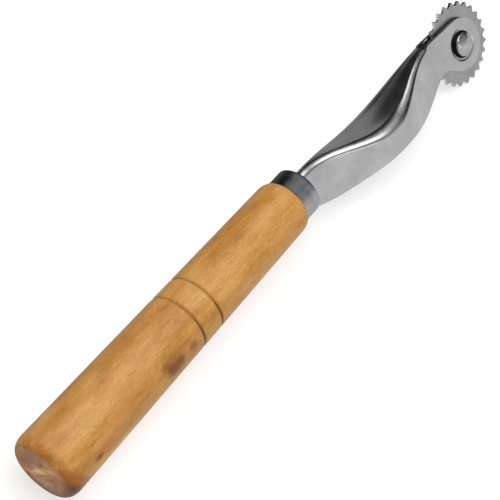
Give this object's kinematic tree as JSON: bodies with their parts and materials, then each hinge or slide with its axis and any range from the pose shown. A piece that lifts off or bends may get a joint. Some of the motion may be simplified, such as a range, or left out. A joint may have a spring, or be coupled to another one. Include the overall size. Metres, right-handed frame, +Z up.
{
  "type": "tracing wheel",
  "caption": "Sewing tracing wheel: turned wooden handle with a ferrule and a folded steel fork with a finger rest that holds a serrated disc free to turn on a rivet.",
  "frame": {"origin": "on the floor under the middle of the tool as it lies on its handle's butt, the lower edge of one flange and a tooth", "axes": "+X from the handle's butt to the wheel, +Y level and square to the tool's length, +Z up; the axle leans 53 degrees from upright, with the rivet's head upwards, and the finger rest faces up and towards +Y; the tool rises 1.7 degrees from butt to wheel"},
  "size_m": [0.1784, 0.0216, 0.0193],
  "materials": {
    "handle": "turned light hardwood under clear gloss varnish, honey tan with fine flecks",
    "ferrule": "dull blue-grey zinc-plated steel",
    "fork": "polished steel sheet",
    "rivet": "bright steel with a softly domed head",
    "wheel": "satin stamped steel"
  },
  "bodies": {
    "tool": {"handle": "handle", "ferrule": "ferrule", "fork": "fork", "rivet": "rivet"},
    "wheel": {"wheel": "wheel"}
  },
  "joints": [
    {"name": "wheel_spin", "type": "hinge", "parent": "tool", "child": "wheel", "pos_m": [0.07794, -0.00203, 0.00923], "axis": [-0.018, -0.7938, 0.6079], "continuous": true}
  ]
}
